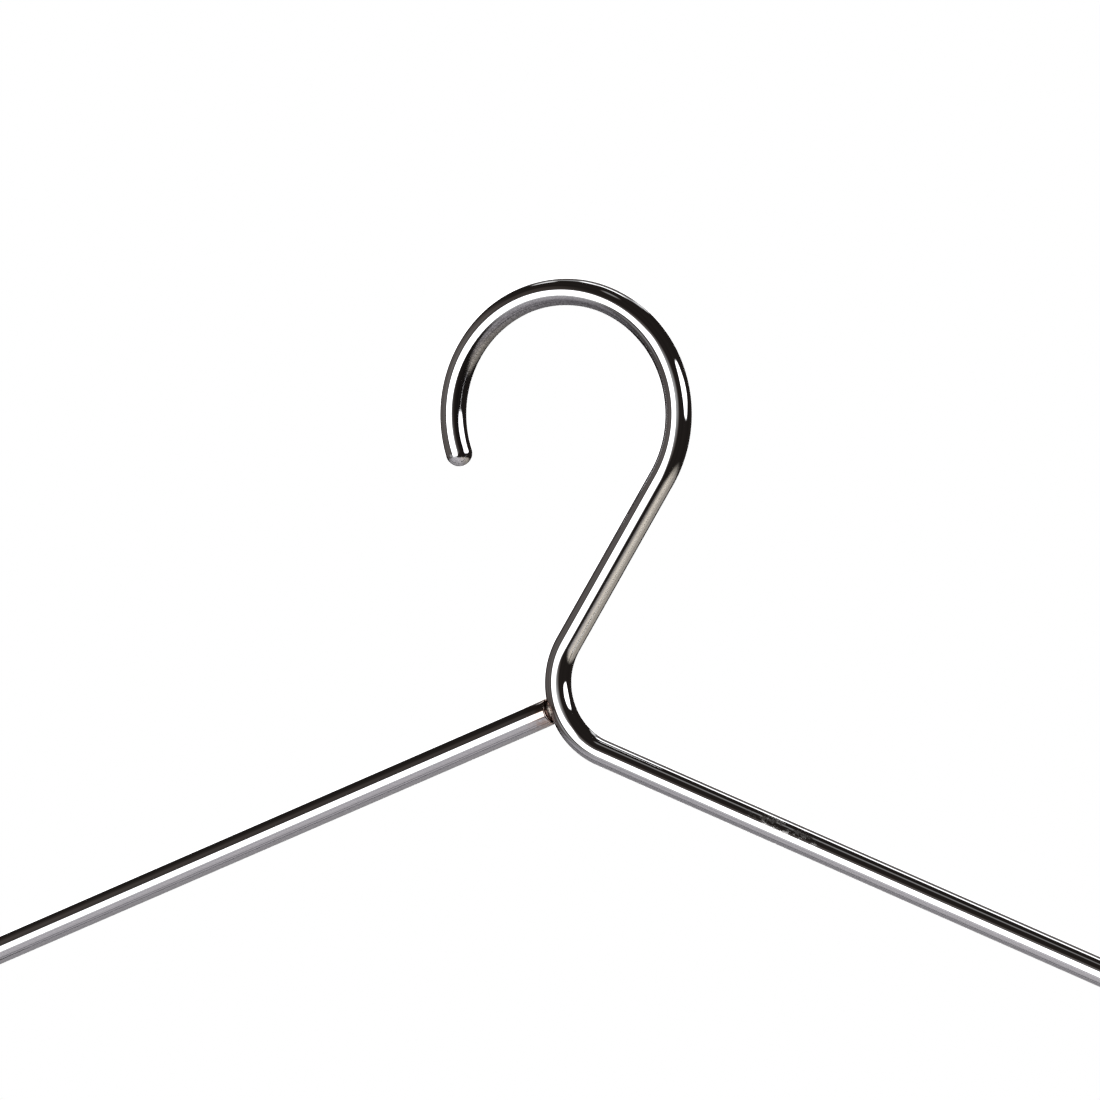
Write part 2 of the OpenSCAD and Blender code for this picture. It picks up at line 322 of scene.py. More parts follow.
shank_heading = ray(-math.pi / 2 - SHANK_LEAN)
shank_top = HOOK_R * ray(-SHANK_LEAN)
meet = shank_top + shank_heading * (NECK_DROP + shank_top[1]) / math.cos(SHANK_LEAN)
apex = meet + ray(-ARM_FALL) * NECK_SHIFT
neck_turn = math.pi / 2 + SHANK_LEAN - ARM_FALL
neck_run = NECK_R * math.tan(neck_turn / 2)
neck_in = meet - shank_heading * neck_run
neck_centre = neck_in + NECK_R * ray(-SHANK_LEAN)
corner_dx = FRAME_W / 2 - WIRE_R - CORNER_R
corner_z = apex[1] - (CORNER_R + corner_dx * math.sin(ARM_FALL)) / math.cos(ARM_FALL)
BAR_Z = corner_z - CORNER_R
BAR_MID = apex[0]
past_centre = (apex - neck_centre) @ ray(math.pi / 2 + ARM_FALL)
to_skin = (apex - neck_centre) @ ray(ARM_FALL) + math.sqrt((NECK_R + WIRE_R) ** 2 - past_centre**2)
arm_end = apex - ray(ARM_FALL) * (to_skin + SEAM_W)
print(f"bar at z {BAR_Z * 1000:.2f} mm, its middle at x {BAR_MID * 1000:.2f} mm")


# %% [markdown]
# An arc gives more rings than a straight, because only a bend needs them. Each ring also carries how
# strongly it is bent, since drawn wire thins by a hair where it is pulled round a former.


# %% Arcs and straights of the line
def arc(centre, radius, start, turn, rings):
    """Points at radius from centre, from start on; the heading is a quarter turn ahead of the spoke."""
    angle = np.linspace(start, start + turn, rings)
    spoke = np.stack([np.cos(angle), np.sin(angle)], axis=1)
    heading = np.stack([-spoke[:, 1], spoke[:, 0]], axis=1) * np.sign(turn)
    share = np.linspace(0, 1, rings)
    bent = np.clip(np.minimum(share, 1 - share) * BEND_EASE, 0, 1)
    return centre + radius * spoke, heading, bent


def straight(start, end, rings):
    """Points evenly spaced from start to end, all with one heading."""
    share = np.linspace(0, 1, rings)[:, None]
    run = (end - start) / np.linalg.norm(end - start)
    return start + (end - start) * share, np.tile(run, (rings, 1)), np.zeros(rings)


def join_line(pieces):
    """Chains the pieces and drops each one's first ring, which the piece before already has."""
    first, rest = pieces[0], pieces[1:]
    return [np.concatenate([first[k], *[p[k][1:] for p in rest]]) for k in range(3)]


corner_turn = math.pi - ARM_FALL
right_centre = np.array([BAR_MID + corner_dx, corner_z])
left_centre = np.array([BAR_MID - corner_dx, corner_z])
bar_drop = np.array([0, -CORNER_R])
line, heading, bent = join_line([
    arc(np.zeros(2), HOOK_R, math.pi + TIP_PAST, -(math.pi + TIP_PAST + SHANK_LEAN), 150),
    straight(shank_top, neck_in, 12),
    arc(neck_centre, NECK_R, math.pi - SHANK_LEAN, neck_turn, 90),
    straight(neck_centre + NECK_R * ray(-math.pi / 2 - ARM_FALL),
             right_centre + CORNER_R * ray(math.pi / 2 - ARM_FALL), 60),
    arc(right_centre, CORNER_R, math.pi / 2 - ARM_FALL, -corner_turn, 90),
    straight(right_centre + bar_drop, left_centre + bar_drop, 60),
    arc(left_centre, CORNER_R, -math.pi / 2, -corner_turn, 90),
    straight(left_centre + CORNER_R * ray(math.pi / 2 + ARM_FALL), arm_end, 60),
])
steps = np.linalg.norm(np.diff(line, axis=0), axis=1)
along = np.concatenate([[0], np.cumsum(steps)])
print(f"the wire is {along[-1]:.3f} m long, in {len(line)} rings")


# %% [markdown]
# ## Sweeping the tube
# A round wire is a circle carried along its line. The tip is deburred to a dome and the other end is cut
# square with a small rounded edge, so the radius shrinks over the last few rings in both places. Pressed
# hot against the neck, the cut end has taken on some of the neck's curve: its last rings lean to meet it.
# Besides its place, each vertex keeps where it would lie if the wire were pulled straight again: lines left
# by the drawing die then follow every bend.


# %% The bent wire
def dome_profile():
    """Steps past the end of the line, and the radius there as a share of the wire's: a quarter circle."""
    angle = np.linspace(0, math.pi / 2, DOME_RINGS)[1:-1]
    return WIRE_R * np.sin(angle), np.cos(angle)


def cut_profile():
    """The same for a square cut with a small round edge, which ends level with the line."""
    angle = np.linspace(0, math.pi / 2, CUT_RINGS)[1:]
    return CUT_EDGE * (np.sin(angle) - 1), 1 - CUT_EDGE / WIRE_R * (1 - np.cos(angle))


def sweep_wire(line, heading, radius, along, sides=64):
    """Ring point = line + radius x (cos of the angle x the side way + sin of the angle x +Y)."""
    angle = np.linspace(0, 2 * math.pi, sides, endpoint=False)
    sideways = np.stack([-heading[:, 1], np.zeros(len(line)), heading[:, 0]], axis=1)
    centre = np.stack([line[:, 0], np.zeros(len(line)), line[:, 1]], axis=1)
    spoke = np.cos(angle)[None, :, None] * sideways[:, None, :]
    spoke = spoke + np.sin(angle)[None, :, None] * np.array([0, 1, 0])
    points = centre[:, None, :] + radius[:, None, None] * spoke
    unbent = np.stack(np.broadcast_arrays(
        WIRE_R * np.cos(angle)[None, :], WIRE_R * np.sin(angle)[None, :], along[:, None]), axis=-1)
    return points.reshape(-1, 3), unbent.reshape(-1, 3), angle


def gap_to_neck(off_axis):
    """How far ahead of the arm's end the neck's skin is, off the arm's axis: a circle's near root."""
    way = ray(ARM_FALL)
    start = arm_end - neck_centre + off_axis[..., None] * np.array([-way[1], way[0]])
    ahead = start @ way
    return -ahead - np.sqrt(np.maximum(ahead**2 - (start**2).sum(-1) + (NECK_R + WIRE_R) ** 2, 0))


def build_wire():
    radius = WIRE_R * (1 - BEND_THINNING * bent)
    dome_step, dome_share = dome_profile()
    cut_step, cut_share = cut_profile()
    keep = along < along[-1] - CUT_CLEAR
    domed = line[0] - heading[0] * dome_step[::-1, None]
    cut = line[-1] + heading[-1] * cut_step[:, None]
    rows = [domed, line[keep], cut]
    headings = [np.tile(heading[0], (len(domed), 1)), heading[keep], np.tile(heading[-1], (len(cut), 1))]
    radii = [WIRE_R * dome_share[::-1], radius[keep], WIRE_R * cut_share]
    places = [along[0] - dome_step[::-1], along[keep], along[-1] + cut_step]
    rows, headings, radii, places = [np.concatenate(x) for x in (rows, headings, radii, places)]
    points, unbent, angle = sweep_wire(rows, headings, radii, places)
    sides, rings = len(angle), len(rows)
    tip = line[0] - heading[0] * WIRE_R
    end = line[-1]
    points = np.vstack([points, [tip[0], 0, tip[1]], [end[0], 0, end[1]]])
    unbent = np.vstack([unbent, [0, 0, places[0]], [0, 0, places[-1]]])
    near_end = np.clip((unbent[:, 2] - places[-1]) / END_LEAN + 1, 0, 1)
    lean = (gap_to_neck(unbent[:, 0]) - END_GAP) * near_end
    points += lean[:, None] * np.array([heading[-1, 0], 0, heading[-1, 1]])
    wire = make_mesh_object("bent_wire", points, tube_faces(rings, sides), crease_angle=50)
    add_point_attribute(wire, "unbent_place", unbent)
    return wire


wire = build_wire()
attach(wire, "frame")
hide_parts("frame_wire")
print("bent wire:", len(wire.data.vertices), "vertices")

# %% [markdown]
# ## The weld at the neck
# The free end of the wire is pushed against the neck and melted to it by a surge of current. What is left
# is a plug slimmer than the wire, narrowest at the cut end and flared at the neck, and stained brown by
# the heat. It is a short grid round the arm's axis, with its radius stirred by a few sine waves.

# %% The weld
WELD_FROM = -0.0004
WELD_TO = 0.0021
WELD_WAIST = 0.00158
WELD_FLARE = 0.00034
WELD_RIPPLE = 0.00001


def build_weld(sides=72, rings=18):
    """Radius = waist + flare + ripples; the far end runs into the neck, out of sight."""
    angle = np.linspace(0, 2 * math.pi, sides, endpoint=False)[None, :]
    share = np.linspace(0, 1, rings)[:, None]
    reach = np.linspace(WELD_FROM, WELD_TO, rings)[:, None]
    plug = WELD_WAIST + WELD_FLARE * (2 * share - 0.7) ** 2
    ripple = 3 * np.sin(3 * angle + 1.1 + 3 * share) + 2 * np.sin(7 * angle + 0.4 - 5 * share)
    ripple = ripple + 4 * np.sin(17 * share + 2 * np.sin(angle))
    radius = np.minimum(plug + WELD_RIPPLE * ripple, WIRE_R * 0.985)
    way = ray(ARM_FALL)
    side = np.array([-way[1], way[0]])
    x = arm_end[0] + way[0] * reach + side[0] * radius * np.cos(angle)
    z = arm_end[1] + way[1] * reach + side[1] * radius * np.cos(angle)
    y = radius * np.sin(angle)
    points = np.stack(np.broadcast_arrays(x, y, z), axis=-1).reshape(-1, 3)
    ends = [arm_end + way * r for r in (WELD_FROM, WELD_TO)]
    points = np.vstack([points, [[e[0], 0, e[1]] for e in ends]])
    return make_mesh_object("neck_weld_bead", points, tube_faces(rings, sides), crease_angle=60)


weld = build_weld()
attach(weld, "frame")
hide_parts("neck_weld")
print("weld bead:", len(weld.data.vertices), "vertices")

# %% [markdown]
# ## The pressed jaws
# Each jaw starts as a flat blank. A press bends it at the flare, the waist, the belly and the lip, pushes
# a stiffening swage and three finger ridges into it, and folds an ear inwards on each side. Seen edge on,
# the sheet never doubles back, so its middle surface is a height field: how far out it stands, as a
# function of the place across and the height. The fold and the ear go on from the sheet's side edges.

# %% Sizes of the clips, in metres
SHEET_T = 0.001
TAB_HALF = 0.009
LIP_HALF = 0.012
EAR_R = 0.00345
EAR_HOLE_R = 0.0023
EAR_TOP = 0.0046
FOLD_R = 0.001
CLIP_X = 0.110
JAW_LINE = np.array([
    [7.995, 16.755], [5.946, 13.923], [4.4745, 0], [6.352, -11.852], [2.875, -19.661], [2.875, -27.661],
]) * 0.001
JAW_BENDS = np.array([0, 3, 6, 6, 3, 0]) * 0.001
BLANK_HEIGHTS = np.array([-27.661, -9.45, -3.45, 3.45, 5.45, 17.2]) * 0.001
TAB_CORNER_R = 0.0045
LIP_CORNER_R = 0.002
TAB_LEAN = math.radians(6)
SWAGE_LOW, SWAGE_HIGH = -0.0118, -0.0074
SWAGE_PUSH = 0.0006
RIDGES = 3
RIDGE_FIRST = 0.0070
RIDGE_PITCH = 0.0028
RIDGE_HALF = 0.0046
RIDGE_PUSH = 0.00055
SHEARED_EDGE = 0.00016
# Half the sheet's width at the bar, and how far the ears' middles are from the clip's middle
EARS = {"back": (0.010, 0.0095), "front": (0.00865, 0.00815)}
# Which way along Y each jaw stands from the bar
OUT_WAYS = {"back": 1, "front": -1}


def rounded(corners, radii, steps=14):
    """A polyline whose inner corners are arcs tangent to both sides, radius by radius."""
    points = [corners[0]]
    for before, corner, after, radius in zip(corners, corners[1:], corners[2:], radii[1:]):
        u, v = corner - before, after - corner
        u, v = u / np.linalg.norm(u), v / np.linalg.norm(v)
        turn = math.atan2(u[0] * v[1] - u[1] * v[0], u @ v)
        inward = np.array([-u[1], u[0]]) * np.sign(turn)
        start = corner - u * radius * math.tan(abs(turn) / 2)
        a = np.linspace(0, abs(turn), steps)[:, None]
        points.extend(start + radius * (np.sin(a) * u + (1 - np.cos(a)) * inward))
    points.append(corners[-1])
    return np.array(points)


jaw_curve = rounded(JAW_LINE, JAW_BENDS)[::-1]


def stands_out(height):
    """How far the sheet's middle surface is from the clip's middle plane at a height above the bar."""
    return np.interp(height, jaw_curve[:, 1], jaw_curve[:, 0])


tab_reach, lip_reach = [(jaw_curve[k] * 1000).round(2) for k in (-1, 0)]
print("a jaw reaches", tab_reach, "mm at its tab and", lip_reach, "mm at its lip")

# %% [markdown]
# The outline's half width is a function of height too. It is straight between the heights where the blank
# changes, and each free corner is a quarter circle. Rows of points crowd together at those corners, and
# where the ridges and the fold need them.


# %% Outline and rows of a jaw
def half_width(height, waist_half):
    """Straight-sided outline, then both ends drawn in by a quarter circle: w - r + sqrt(r^2 - d^2)."""
    halves = [LIP_HALF, LIP_HALF, waist_half, waist_half, TAB_HALF, TAB_HALF]
    width = np.interp(height, BLANK_HEIGHTS, halves)
    for end, radius, sign in ((jaw_curve[-1, 1], TAB_CORNER_R, 1), (jaw_curve[0, 1], LIP_CORNER_R, -1)):
        d = np.clip(radius - (end - height) * sign, 0, radius)
        width = width - radius + np.sqrt(radius**2 - d**2)
    return width


def jaw_rows(ear_rows):
    """Heights from lip to tab: even steps of about 0.3 mm, finer at both ends and through the ridges."""
    low, high = jaw_curve[0, 1], jaw_curve[-1, 1]
    lip = low + (1 - np.cos(np.linspace(0, math.pi / 2, 12))) * LIP_CORNER_R
    tab = high - (1 - np.cos(np.linspace(0, math.pi / 2, 16))) * TAB_CORNER_R
    body = np.linspace(lip[-1], -EAR_TOP, 60)
    grip = np.linspace(EAR_TOP, tab[-1], 70)
    return np.unique(np.concatenate([lip, body, ear_rows, grip, tab]).round(7))


def press_features(x, height):
    """Outward push of the sheet: a long swage down the belly and three short ridges across the tab."""
    from_spine = np.hypot(x, height - np.clip(height, SWAGE_LOW, SWAGE_HIGH))
    push = SWAGE_PUSH * (1 - smooth_step(from_spine, 0.0028, 0.0041))
    for k in range(RIDGES):
        centre = (RIDGE_FIRST + RIDGE_PITCH * k) * math.cos(TAB_LEAN)
        from_ridge = np.hypot(np.maximum(np.abs(x) - RIDGE_HALF, 0), height - centre)
        push = push + RIDGE_PUSH * (1 - smooth_step(from_ridge, 0.0001, 0.00085))
    return push


def smooth_step(value, low, high):
    """0 below low, 1 above high, and 3 s^2 - 2 s^3 between."""
    share = np.clip((value - low) / (high - low), 0, 1)
    return share * share * (3 - 2 * share)


# %% [markdown]
# The ear is a plate round the bar's hole. Its grid is polar: spokes from the hole's edge to the ear's
# outline. The spokes that face the sheet end exactly on the rows of the fold, so that when the doubles are
# merged, sheet, fold and ears are one surface, as in the real pressing. Solidify then gives it the
# sheet's thickness and Bevel takes the sharpness off the sheared edges.


# %% One jaw
EAR_ROWS = np.linspace(-EAR_TOP, EAR_TOP, 25)


def ear_outline():
    """[out, up] round the ear: up the fold's end, back over the top, round the far side and under."""
    fold = np.stack([stands_out(EAR_ROWS) - FOLD_R, EAR_ROWS], axis=1)
    angle = np.linspace(math.pi / 2, 3 * math.pi / 2, 40)
    far = EAR_R * np.stack([np.cos(angle), np.sin(angle)], axis=1)
    share = np.linspace(0, 1, 6)[1:-1, None]
    over = fold[-1] + (far[0] - fold[-1]) * share
    under = far[-1] + (fold[0] - far[-1]) * share
    return np.concatenate([fold, over, far, under])


def jaw_points(waist_half, ear_x):
    """All grids of a jaw as [across, out, up] points, with their faces."""
    rows = jaw_rows(EAR_ROWS)
    in_fold = np.abs(rows) <= EAR_TOP + 1e-9
    flat_end = ear_x - FOLD_R
    half = np.where(in_fold, flat_end, half_width(rows, waist_half))
    across = np.linspace(-1, 1, 57)
    x = half[:, None] * across[None, :]
    height = np.repeat(rows[:, None], len(across), axis=1)
    out = stands_out(height) + press_features(x, height)
    grids = [np.stack([x, out, height], axis=-1)]
    bend = np.linspace(0, math.pi / 2, 9)[None, :]
    base = stands_out(EAR_ROWS)[:, None]
    outline = ear_outline()
    spokes = np.linspace(0, 1, 8)[:, None, None]
    rim = outline / np.linalg.norm(outline, axis=1)[:, None] * EAR_HOLE_R
    plate = rim + (outline - rim) * spokes
    for side in (-1, 1):
        fold_x = side * (flat_end + FOLD_R * np.sin(bend)) + 0 * base
        fold_out = base - FOLD_R * (1 - np.cos(bend))
        grids.append(np.stack([fold_x, fold_out, EAR_ROWS[:, None] + 0 * fold_x], axis=-1))
        plate_x = np.full(plate.shape[:2], side * ear_x)
        grids.append(np.stack([plate_x, plate[..., 0], plate[..., 1]], axis=-1))
    points, faces, first = [], [], 0
    for k, grid in enumerate(grids):
        is_ear = k in (2, 4)
        faces += grid_faces(*grid.shape[:2], closed=is_ear, first=first)
        points.append(grid.reshape(-1, 3))
        first += grid.shape[0] * grid.shape[1]
    return np.vstack(points), faces


def build_jaw(name, clip_x, out_way, waist_half, ear_x):
    """The jaw's middle surface on the bar, with the modifiers that make it sheet."""
    local, faces = jaw_points(waist_half, ear_x)
    points = np.stack([clip_x + local[:, 0], out_way * local[:, 1], BAR_Z + local[:, 2]], axis=1)
    jaw = make_mesh_object(name, points, faces, merge=2e-6)
    wall = jaw.modifiers.new("sheet", "SOLIDIFY")
    wall.thickness, wall.offset, wall.use_even_offset = SHEET_T, 0, True
    edge = jaw.modifiers.new("sheared_edge", "BEVEL")
    edge.width, edge.segments, edge.limit_method = SHEARED_EDGE, 2, "ANGLE"
    edge.angle_limit = math.radians(55)
    return jaw


clips = {side: BAR_MID + sign * CLIP_X for side, sign in (("left", -1), ("right", 1))}
jaws = []
for side, clip_x in clips.items():
    for part, out_way in OUT_WAYS.items():
        jaw = build_jaw(f"{side}_{part}_pressed_jaw", clip_x, out_way, *EARS[part])
        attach(jaw, f"{side}_{part}")
        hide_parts(f"{side}_clip_{part}_jaw")
        jaws.append(jaw)
print("four jaws of", len(jaws[0].data.vertices), "vertices before their thickness")

# %% [markdown]
# ## The soft pads
# A pad is moulded round the lip like a thimble. Its section is a rounded block with grip grooves on the
# face that meets its partner. Carrying that section across the clip, and drawing it in at both ends with a
# quarter circle, makes the closed form in one grid.

# %% Sizes of a pad, in metres
PAD_HALF = 0.0131
PAD_FACE = 0.000175
PAD_OUTSIDE = 0.004475
PAD_LOW = -0.028761
PAD_HIGH = -0.018761
PAD_CORNER = 0.0011
GROOVES = 5
GROOVE_DEEP = 0.0006
pad_mid = np.array([(PAD_FACE + PAD_OUTSIDE) / 2, (PAD_LOW + PAD_HIGH) / 2])
pad_halves = np.array([(PAD_OUTSIDE - PAD_FACE) / 2, (PAD_HIGH - PAD_LOW) / 2])


def pad_section(points_a_side=90):
    """[out, up] round a block with round corners, with V grooves cut into the gripping side."""
    angle = np.linspace(0, math.pi / 2, 10)
    quarter = np.stack([np.cos(angle), np.sin(angle)], axis=1) * PAD_CORNER
    inner = pad_halves - PAD_CORNER
    first = quarter + inner
    second = quarter[::-1] * [-1, 1] + inner * [-1, 1]
    rise = np.linspace(inner[1], -inner[1], points_a_side)[1:-1]
    grip = np.stack([np.full(len(rise), -pad_halves[0]), rise], axis=1)
    third = quarter * [-1, -1] - inner
    fourth = quarter[::-1] * [1, -1] + inner * [1, -1]
    back = np.stack([np.full(8, pad_halves[0]), np.linspace(-inner[1], inner[1], 10)[1:-1]], axis=1)
    section = np.concatenate([first, second, grip, third, fourth, back]) + pad_mid
    pitch = (PAD_HIGH - PAD_LOW) / (GROOVES + 1)
    place = (section[:, 1] - PAD_LOW) / pitch
    from_groove = np.abs(place - np.clip(np.round(place), 1, GROOVES)) * pitch
    depth = GROOVE_DEEP * (1 - smooth_step(from_groove, 0, 1.6 * GROOVE_DEEP))
    on_grip = section[:, 0] < PAD_FACE + 0.0002
    section[:, 0] += np.where(on_grip, depth, 0)
    return section


def build_pad(name, clip_x, out_way):
    """The section carried from end to end, drawn in by r (1 - cos a) where it is r sin a from the end."""
    section = pad_section()
    angle = np.linspace(0, math.pi / 2, 10)
    ends = PAD_HALF - PAD_CORNER + PAD_CORNER * np.sin(angle)
    inset = PAD_CORNER * (1 - np.cos(angle))
    ends, inset = np.append(ends, PAD_HALF), np.append(inset, PAD_CORNER * 1.15)
    middle = np.linspace(-1, 1, 41)[1:-1] * (PAD_HALF - PAD_CORNER)
    x = np.concatenate([-ends[::-1], middle, ends])
    draw_in = np.concatenate([inset[::-1], 0 * middle, inset])
    shrink = 1 - draw_in[:, None, None] / pad_halves
    ring = pad_mid + (section - pad_mid) * shrink
    points = np.stack(
        np.broadcast_arrays(clip_x + x[:, None], out_way * ring[..., 0], BAR_Z + ring[..., 1]), axis=-1)
    poles = [[clip_x + s * PAD_HALF, out_way * pad_mid[0], BAR_Z + pad_mid[1]] for s in (-1, 1)]
    points = np.vstack([points.reshape(-1, 3), poles])
    return make_mesh_object(name, points, tube_faces(len(x), len(section)))


pads = []
for side, clip_x in clips.items():
    for part, out_way in OUT_WAYS.items():
        pad = build_pad(f"{side}_{part}_soft_pad", clip_x, out_way)
        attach(pad, f"{side}_{part}")
        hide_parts(f"{side}_clip_{part}_pad")
        pads.append(pad)
print("four pads of", len(pads[0].data.vertices), "vertices")

# %% [markdown]
# ## The torsion springs
# A torsion spring is a coil whose two ends stand straight up as legs, each pushing on one finger tab. Its
# line is a helix round the bar with a tangent at either end.

# %% The springs
SPRING_R = 0.0006
COIL_R = 0.0033
COIL_LEN = 0.0103867
LEG_LEN = 0.011
LEG_ANGLE = -TAB_LEAN
COIL_SWEEP = math.radians(360 * 6 - 180) - 2 * TAB_LEAN


def spring_line(turn_rings=44):
    """Leg, helix, leg: the helix drops in angle as it goes across, and both legs leave it upwards."""
    share = np.linspace(0, 1, int(turn_rings * COIL_SWEEP / (2 * math.pi)))
    angle = LEG_ANGLE - COIL_SWEEP * share
    x = COIL_LEN * (share - 0.5)
    coil = np.stack([x, COIL_R * np.cos(angle), COIL_R * np.sin(angle)], axis=1)
    reach = np.linspace(1, 0, 14)[:-1, None] * LEG_LEN
    first_way = np.array([0, -math.sin(angle[0]), math.cos(angle[0])])
    last_way = np.array([0, math.sin(angle[-1]), -math.cos(angle[-1])])
    return np.concatenate([coil[0] + reach * first_way, coil, coil[-1] + reach[::-1] * last_way])


def build_spring(name, clip_x, sides=18):
    """A circle carried along the line, in a frame that keeps +X as near to sideways as it can."""
    line = spring_line() + [clip_x, 0, BAR_Z]
    way = np.gradient(line, axis=0)
    way /= np.linalg.norm(way, axis=1)[:, None]
    dome = np.linspace(0, math.pi / 2, 6)[1:-1]
    before = line[0] - way[0] * (SPRING_R * np.sin(dome[::-1]))[:, None]
    after = line[-1] + way[-1] * (SPRING_R * np.sin(dome))[:, None]
    radius = np.concatenate([np.cos(dome[::-1]), np.ones(len(line)), np.cos(dome)]) * SPRING_R
    along = np.concatenate([[0], np.cumsum(np.linalg.norm(np.diff(line, axis=0), axis=1))])
    along = np.pad(along, len(dome), mode="edge")
    ways = np.pad(way, ((len(dome), len(dome)), (0, 0)), mode="edge")
    centre = np.concatenate([before, line, after])
    side = np.array([1.0, 0, 0]) - ways * ways[:, :1]
    side /= np.linalg.norm(side, axis=1)[:, None]
    other = np.cross(ways, side)
    angle = np.linspace(0, 2 * math.pi, sides, endpoint=False)[None, :, None]
    ring = np.cos(angle) * side[:, None, :] + np.sin(angle) * other[:, None, :]
    points = centre[:, None, :] + radius[:, None, None] * ring
    place = np.stack(np.broadcast_arrays(
        SPRING_R * np.cos(angle[..., 0]), SPRING_R * np.sin(angle[..., 0]), along[:, None]), axis=-1)
    tips = [line[0] - way[0] * SPRING_R, line[-1] + way[-1] * SPRING_R]
    points = np.vstack([points.reshape(-1, 3), tips])
    place = np.vstack([place.reshape(-1, 3), [0, 0, along[0]], [0, 0, along[-1]]])
    spring = make_mesh_object(name, points, tube_faces(len(centre), sides))
    add_point_attribute(spring, "unbent_place", place)
    return spring


springs = []
for side, clip_x in clips.items():
    spring = build_spring(f"{side}_wound_spring", clip_x)
    clip_x - COIL_LEN / 2
    clip_x + COIL_LEN / 2
    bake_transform(spring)
    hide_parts(f"{side}_clip_spring")
    springs.append(spring)
print("two springs of", len(springs[0].data.vertices), "vertices")

# %% [markdown]
# ## Chrome on the wire
# Bright chrome is a nearly perfect mirror that sends back a little over half of the light. What keeps it
# from looking like a computer's mirror is small. The die leaves faint lines along the wire and two that
# are scored deeper, the plating is streaked and a little wavy, and the right arm has a scuffed and pitted
# place. Inside the top of the hook the plating is dulled, where it slides on whatever it hangs from, and
# its colour there is darkened as a painted dark reflection of the rail it hangs on. The arm's welded end
# is tinted by heat. Lines, scuffs and rubs read the unbent place, so they follow the wire round every bend.

# %% Chrome wire finish
SCUFF_ALONG = 0.1655
SCUFF_SIDE = (0.00106, -0.00192)
SCUFF_HALF_LONG = 0.0085
SCUFF_HALF_WIDE = 0.0014
SCORED_LINES = (-140, -130)
SCORED_HALF = 0.045
SEAT_ALONG = 0.037
SEAT_ENDS = (0.036, 0.014)
HEAT_ENDS = (0.0045, 0.0018)
WIRE_BRIGHT = (0.63, 0.63, 0.633)
WIRE_STREAK = (0.475, 0.475, 0.487)
WIRE_SCORED = (0.15, 0.145, 0.18)
# Painted dark reflection: the colour given to the hook's inner side where it sits
WIRE_PAINTED_DARK_REFLECTION = (0.15, 0.145, 0.152)
WIRE_SCUFFED = (0.47, 0.46, 0.45)
WIRE_HEATED = (0.40, 0.31, 0.27)


def scuffed_place(across, depth, run, pits):
    """Pits inside an ellipsoid: the sum of (distance / half size)^2 is below 1."""
    off = ((run - SCUFF_ALONG) / SCUFF_HALF_LONG) ** 2 + ((across - SCUFF_SIDE[0]) / SCUFF_HALF_WIDE) ** 2
    off = off + ((depth - SCUFF_SIDE[1]) / SCUFF_HALF_WIDE) ** 2
    return off.rise(1.0, 0.2) * pits.rise(0.44, 0.62)


def scored_lines(g, across, depth):
    """1 on each scored line: where the angle round the wire is the line's own."""
    around = g.node("ShaderNodeMath", {"operation": "ARCTAN2"}, {0: depth, 1: across})
    off = [(around - math.radians(turn)).size() for turn in SCORED_LINES]
    return sum(x.rise(SCORED_HALF, SCORED_HALF / 3) for x in off)


def rubbed_seat_and_painted_reflection(across, run, rubs):
    """1 where the hook sits: on its inner side, near the top of its bend. It masks the rub and a painted
    dark reflection.
    """
    seat_rub_and_painted_reflection = across.rise(-0.0002, -0.0016) * (run - SEAT_ALONG).size().rise(*SEAT_ENDS)
    return seat_rub_and_painted_reflection * (0.62 + rubs.rise(0.42, 0.60) * 0.38)


def chrome_wire_finish():
    finish, g = new_finish("chrome_wire")
    place = g.unbent_place()
    across, depth, run = g.parts(place)
    lines = g.noise(g.stretch(place, (1, 1, 0.001)), 1700, detail=1)
    waves = g.noise(g.stretch(place, (1, 1, 0.10)), 260, detail=1)
    specks = g.noise(place, 4200, detail=1)
    pits = g.noise(g.stretch(place, (1, 1, 0.5)), 1500, detail=4, rough=0.65)
    streaks = g.noise(g.stretch(place, (1, 1, 0.0008)), 3600, detail=2)
    rubs = g.noise(g.stretch(place, (1, 0.06, 1)), 5200, detail=2)
    scuff = scuffed_place(across, depth, run, pits)
    seat_rub_and_painted_reflection = rubbed_seat_and_painted_reflection(across, run, rubs)
    heat = g.distance(g.place(), (arm_end[0], 0, arm_end[1])).rise(*HEAT_ENDS) * pits.rise(0.3, 0.6)
    height = lines * 1.6 + waves + scuff * pits * 0.5 + seat_rub_and_painted_reflection * rubs * 0.5
    rough = 0.03 + lines.rise(0.5, 0.75) * 0.025 + specks.rise(0.70, 0.80) * 0.10 + scuff * 0.32
    clean = g.mix(streaks.rise(0.36, 0.66), WIRE_BRIGHT, WIRE_STREAK)
    clean = g.mix(scored_lines(g, across, depth) * 0.75, clean, WIRE_SCORED)
    # Painted dark reflection: the hook's inner side is darkened in colour where it sits, on top of its real
    # rub
    clean = g.mix(seat_rub_and_painted_reflection * 0.9, clean, WIRE_PAINTED_DARK_REFLECTION)
    colour = g.mix(heat, g.mix(scuff, clean, WIRE_SCUFFED), WIRE_HEATED)
    normal = g.bump(height, 1.0, 0.00002)
    close_finish(g, Base_Color=colour, Metallic=1.0, Roughness=rough + seat_rub_and_painted_reflection * 0.14, Normal=normal)
    return finish


wire.data.materials.append(chrome_wire_finish())

# %% [markdown]
# ## The other metals and the rubber
# The pressed jaws carry the same chrome, but the press leaves a faint pebbling. The weld is stained by
# heat: brown and nearly black at the cut end, a dull straw grey on the bead, and dark again at the neck.
# The spring is plain bright wire, and the pads are a matt black soft plastic with the fine grain of their
# mould.

# %% Sheet, weld, spring and pad finishes
STAIN_LONG = 0.0017
STAIN_STOPS = [
    (0.10, (0.14, 0.08, 0.06)), (0.40, (0.05, 0.03, 0.028)), (0.55, (0.36, 0.31, 0.27)),
    (0.85, (0.40, 0.37, 0.34)), (0.97, (0.06, 0.045, 0.04)),
]


